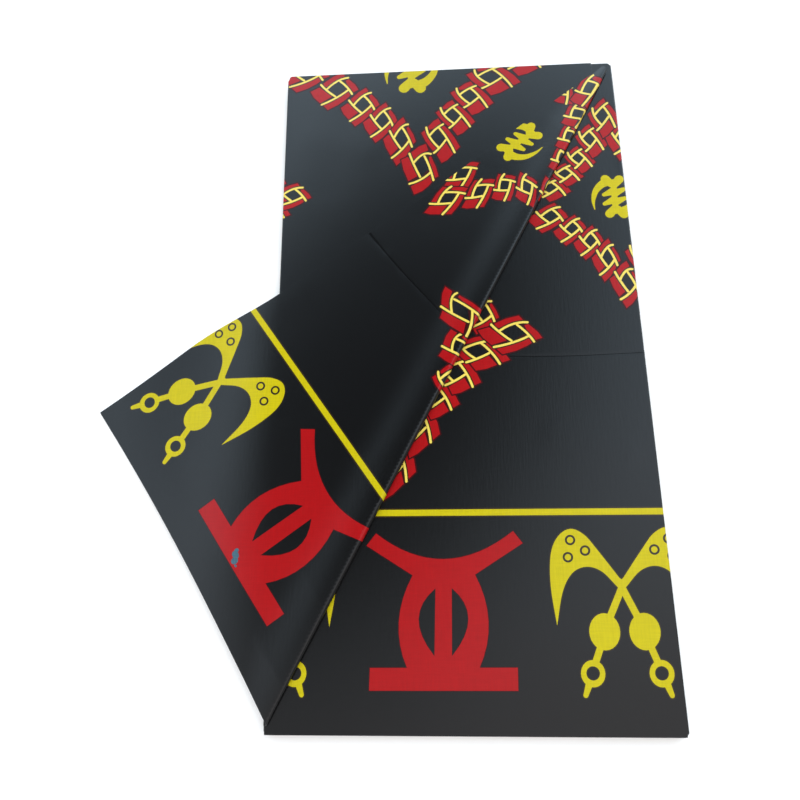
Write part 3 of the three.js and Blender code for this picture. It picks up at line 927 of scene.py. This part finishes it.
def layer_sides(number):
    """A doubled layer's edges: how far in each side stands, its slow waver, and inks that reach the edge."""
    insets = {side: least + most * dice.random() for side, (least, most) in INSETS.items()}
    if number == LAYERS - 1:
        insets["right"] = TOP_RIGHT_INSET
    waver = {side: (0.15 + 0.25 * dice.random(), 6.3 * dice.random(), 90 + 80 * dice.random())
             for side in insets}
    spans = {side: [] for side in insets}
    for side, length, prints in EDGE_PRINTS:
        for _ in range(prints):
            at = (dice.random() - 0.35) * length * 0.7
            ink = dice.choice([RED, RED, YELLOW])
            spans[side] += [(at, at + 7 + 12 * dice.random(), ink)]
            if ink == RED:
                spans[side] += [(at + 5, at + 7.2, CHAIN_YELLOW)]
    return insets, waver, spans


def along_side(side, at):
    return at[0] if side in ("top", "bottom") else at[1]


def edge_depth(sides, number, level, side, at):
    """How far inside the stack's plan one side's edge stands."""
    first, last = number, number + 1
    if side in FOLDED_SIDES:
        first -= (number + (side == "left")) % 2
        last = first + 2
    low, high = max(first, 0) * LAYER, min(last, LAYERS) * LAYER
    rise = np.clip(((number + level) * LAYER - (low + high) / 2) / ((high - low) / 2), -1, 1)
    depth = (high - low) / 2
    if side == "bottom":
        depth = SELVEDGE_ROUND
        off_middle = abs(level - 0.5)
        rise = 2 * off_middle - 1 if off_middle < 0.1 else rise * 0.6
    round_in = depth * (1 - math.sqrt(max(0.0, 1 - rise * rise)))
    size, phase, wave = sides[number][1][side]
    waver = size * (1 + math.sin(along_side(side, at) / wave * 6.3 + phase))
    return sides[max(first, 0)][0][side] + round_in + waver


def stack_layers():
    plan = []
    for side, (a, b, _, _) in STACK_SIDES.items():
        steps = round(float(np.linalg.norm(b - a)) / STACK_SPACING)
        plan += [(side, a + (b - a) * i / steps, i == 0) for i in range(steps)]
    sides = [layer_sides(number) for number in range(LAYERS)]
    rows = [(number, level) for number in range(LAYERS) for level in LEVELS]
    verts, inks, tris = [], [], []
    for number, level in rows:
        for side, at, is_corner in plan:              # a corner takes both sides' depths
            shift = np.zeros(2)
            for name in (side, STACK_SIDES[side][3]) if is_corner else (side,):
                shift += np.array(STACK_SIDES[name][2]) * edge_depth(sides, number, level, name, at)
            verts.append([at[0] + shift[0], at[1] + shift[1], (number + level) * LAYER])
    count = len(plan)
    flat = np.array(verts)
    flat[:count, 2] = 0.0
    flat[-count:, 2] = STACK_HEIGHT
    for row, (number, _) in enumerate(rows[:-1]):
        for i, (side, at, _) in enumerate(plan):
            place = along_side(side, at)
            ink = BLACK
            if side in FOLDED_SIDES and abs(place - LINE_Y) < LINE_WIDTH / 2 + 0.5:
                ink = YELLOW
            for start, end, which in sides[number][2][side]:
                if start <= place <= end:
                    ink = which
            a, b = row * count + i, row * count + (i + 1) % count
            tris += [(a, b, b + count), (a, b + count, a + count)]
            inks += [ink, ink]
    middle, last = len(flat), (len(rows) - 1) * count
    tris += [(middle, last + i, last + (i + 1) % count) for i in range(count)]
    inks += [BLACK] * count
    under, faces, under_inks = cut_into_inks(flat[:count, :2], underside_print, np.zeros((0, 2)),
                                             lambda p: np.full(len(p), 40.0))
    tris += [(middle + 1 + c, middle + 1 + b, middle + 1 + a) for a, b, c in faces]
    inks += list(under_inks)
    flat = np.vstack([flat, [[0, 0, STACK_HEIGHT]], np.column_stack([under, np.zeros(len(under))])])
    uv = flat[:, :2] + flat[:, 2:3]
    return cloth_mesh("folded_stack_cloth", flat, None, tris, inks, uv)


stack = stack_layers()

# ---- Ride and replace: each piece rides on the root, in place of its CAD part ----

def polygon_area(polygon):
    x, y = polygon[:, 0], polygon[:, 1]
    return abs(float(np.sum(x * np.roll(y, -1) - y * np.roll(x, -1)))) / 2e6


for piece, node, area, rests in (
    (stack, "folded_stack", None, ["floor"]),
    (lower, "lower_panel", None, ["folded_stack_cloth"]),
    (upper, "upper_panel", polygon_area(upper_outline()), ["lower_panel_cloth"]),
    (flap, "turned_flap", polygon_area(flap_outline()), ["upper_panel_cloth", "floor"]),
):
    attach(piece, "root")
    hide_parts(node)

# ---- Floor, light and camera ----

def floor_material():
    material = bpy.data.materials.new("pale_floor")
    material.use_nodes = True
    nodes, links = material.node_tree.nodes, material.node_tree.links
    shader = next(n for n in nodes if n.type == "BSDF_PRINCIPLED")
    shader.inputs["Roughness"].default_value = 0.9
    shader.inputs["Specular IOR Level"].default_value = 0.1
    shader.inputs["Base Color"].default_value = (0.96, 0.93, 0.90, 1)
    shader.inputs["Emission Color"].default_value = (1, 1, 1, 1)
    shader.inputs["Emission Strength"].default_value = 0.08
    return material


floor_mesh = bpy.data.meshes.new("floor")
floor_mesh.from_pydata([(-6, -6, 0), (6, -6, 0), (6, 6, 0), (-6, 6, 0)], [], [(0, 1, 2, 3)])
floor_mesh.materials.append(floor_material())
floor = bpy.data.objects.new("floor", floor_mesh)
bpy.context.collection.objects.link(floor)
floor.location.z = -0.0002

world = bpy.data.worlds.new("studio")
bpy.context.scene.world = world
world.use_nodes = True
sky_nodes, sky_links = world.node_tree.nodes, world.node_tree.links
background = sky_nodes["Background"]
background.inputs["Strength"].default_value = 1.0
direction = sky_nodes.new("ShaderNodeTexCoord")

# A dark oval gap between the softboxes: its middle, the way it is long, and its half sizes as sines.
GAP_MIDDLE = Vector((-0.13, 0.325, 1.0)).normalized()
GAP_LONG_WAY = Vector((0.48, 0.877, 0))
GAP_HALF_LENGTH, GAP_HALF_WIDTH = 0.43, 0.25
FAR = 2.5                 # how many half sizes out the ramp ends
gap_short = GAP_MIDDLE.cross(GAP_LONG_WAY).normalized()
gap_long = gap_short.cross(GAP_MIDDLE)
from_gap = sky_nodes.new("ShaderNodeMapping")
from_gap.vector_type = "TEXTURE"
from_gap.inputs["Rotation"].default_value = Matrix((gap_long, gap_short, GAP_MIDDLE)).transposed().to_euler()
from_gap.inputs["Scale"].default_value = (FAR * GAP_HALF_LENGTH, FAR * GAP_HALF_WIDTH, 1000)
distance = sky_nodes.new("ShaderNodeVectorMath")
distance.operation = "LENGTH"
sky = sky_nodes.new("ShaderNodeValToRGB")
SKY = (
    # how far from the gap's middle, in parts of FAR, and the light from there
    (0.00, (0.02, 0.02, 0.02)), (0.22, (0.05, 0.05, 0.05)),
    (0.31, (0.16, 0.17, 0.18)), (0.39, (0.45, 0.49, 0.53)),
    (0.49, (0.74, 0.80, 0.88)), (0.63, (1.14, 1.24, 1.38)),
    (0.85, (1.30, 1.42, 1.58)), (1.00, (1.36, 1.50, 1.66)),
)
for position, colour in SKY[1:-1]:
    sky.color_ramp.elements.new(position).color = (*colour, 1)
sky.color_ramp.elements[0].color = (*SKY[0][1], 1)
sky.color_ramp.elements[-1].color = (*SKY[-1][1], 1)
sky_links.new(direction.outputs["Generated"], from_gap.inputs["Vector"])
sky_links.new(from_gap.outputs["Vector"], distance.inputs[0])
sky_links.new(distance.outputs["Value"], sky.inputs["Fac"])
light_so_far = sky.outputs["Color"]

# How the light changes across the room: a way, where the change starts and ends, and its shares there.
for way, first, last, from_share, to_share in (
    ((-0.21, 0.98, 0.0), -0.15, 0.65, (0.80, 0.72, 0.66), (2.05, 2.45, 2.65)),
    ((-0.6, 0.8, 0.0), 0.28, 0.60, (1.0, 1.0, 1.0), (1.10, 1.08, 1.08)),
    ((-0.8, 0.6, 0.0), 0.33, 0.50, (1.0, 1.0, 1.0), (1.16, 1.15, 1.14)),
    ((-0.723, 0.383, -0.573), -0.05, 0.08, (1.0, 1.0, 1.0), (0.25, 0.25, 0.25)),
    ((0.60, -0.32, -0.74), -0.08, 0.16, (1.0, 1.0, 1.0), (0.18, 0.18, 0.18)),
):
    past = sky_nodes.new("ShaderNodeVectorMath")
    past.operation = "DOT_PRODUCT"
    past.inputs[1].default_value = way
    change = sky_nodes.new("ShaderNodeMapRange")
    change.data_type = "FLOAT_VECTOR"
    for socket, value in (("From_Min_FLOAT3", (first,) * 3), ("From_Max_FLOAT3", (last,) * 3),
                          ("To_Min_FLOAT3", from_share), ("To_Max_FLOAT3", to_share)):
        next(s for s in change.inputs if s.identifier == socket).default_value = value
    changed = sky_nodes.new("ShaderNodeVectorMath")
    changed.operation = "MULTIPLY"
    sky_links.new(direction.outputs["Generated"], past.inputs[0])
    sky_links.new(past.outputs["Value"], next(s for s in change.inputs if s.identifier == "Vector"))
    sky_links.new(light_so_far, changed.inputs[0])
    sky_links.new(change.outputs["Vector"], changed.inputs[1])
    light_so_far = changed.outputs["Vector"]

# A pale horizon, behind the floor's far edge.
height = sky_nodes.new("ShaderNodeSeparateXYZ")
above = sky_nodes.new("ShaderNodeMapRange")
above.inputs["From Min"].default_value, above.inputs["From Max"].default_value = 0.04, 0.30
horizon = sky_nodes.new("ShaderNodeMix")
horizon.data_type = "RGBA"
horizon.inputs[6].default_value = (0.86, 0.87, 0.88, 1)
sky_links.new(direction.outputs["Generated"], height.inputs[0])
sky_links.new(height.outputs["Z"], above.inputs["Value"])
sky_links.new(above.outputs["Result"], horizon.inputs[0])
sky_links.new(light_so_far, horizon.inputs[7])
sky_links.new(horizon.outputs[2], background.inputs["Color"])

LAMP_AT = Vector((0.2, -0.3, 2.4))
light = bpy.data.lights.new("overhead_softbox", "AREA")
light.size, light.energy, light.color = 2.6, 22, (1.0, 0.97, 0.93)
lamp = bpy.data.objects.new("overhead_softbox", light)
lamp.location = LAMP_AT
lamp.visible_glossy = False               # it lights the print evenly, the sky alone gives the sheen
lamp.rotation_euler = (-LAMP_AT).to_track_quat("-Z", "Y").to_euler()
bpy.context.collection.objects.link(lamp)

ELEVATION, AZIMUTH, ROLL = (math.radians(a) for a in (72.68462, -16.73481, -17.99367))
CAMERA_AT = Vector((0.00115988, -0.20289126, 0.56961))
FOCAL_PIXELS, FRAME_PIXELS, SENSOR = 700, 800, 36
forward = Vector((math.sin(AZIMUTH) * math.cos(ELEVATION), math.cos(AZIMUTH) * math.cos(ELEVATION),
                  -math.sin(ELEVATION)))
level = forward.cross(Vector((0, 0, 1))).normalized()
upright = level.cross(forward)
right = math.cos(ROLL) * level + math.sin(ROLL) * upright
up = math.cos(ROLL) * upright - math.sin(ROLL) * level
lens = bpy.data.cameras.new("photo_camera")
lens.sensor_width = SENSOR
lens.lens = SENSOR * FOCAL_PIXELS / FRAME_PIXELS
lens.clip_start = 0.01
camera = bpy.data.objects.new("photo_camera", lens)
camera.matrix_world = Matrix((
    (right.x, up.x, -forward.x, CAMERA_AT.x), (right.y, up.y, -forward.y, CAMERA_AT.y),
    (right.z, up.z, -forward.z, CAMERA_AT.z), (0, 0, 0, 1)))
bpy.context.collection.objects.link(camera)
bpy.context.scene.camera = camera
bpy.context.scene.view_settings.view_transform = "Standard"
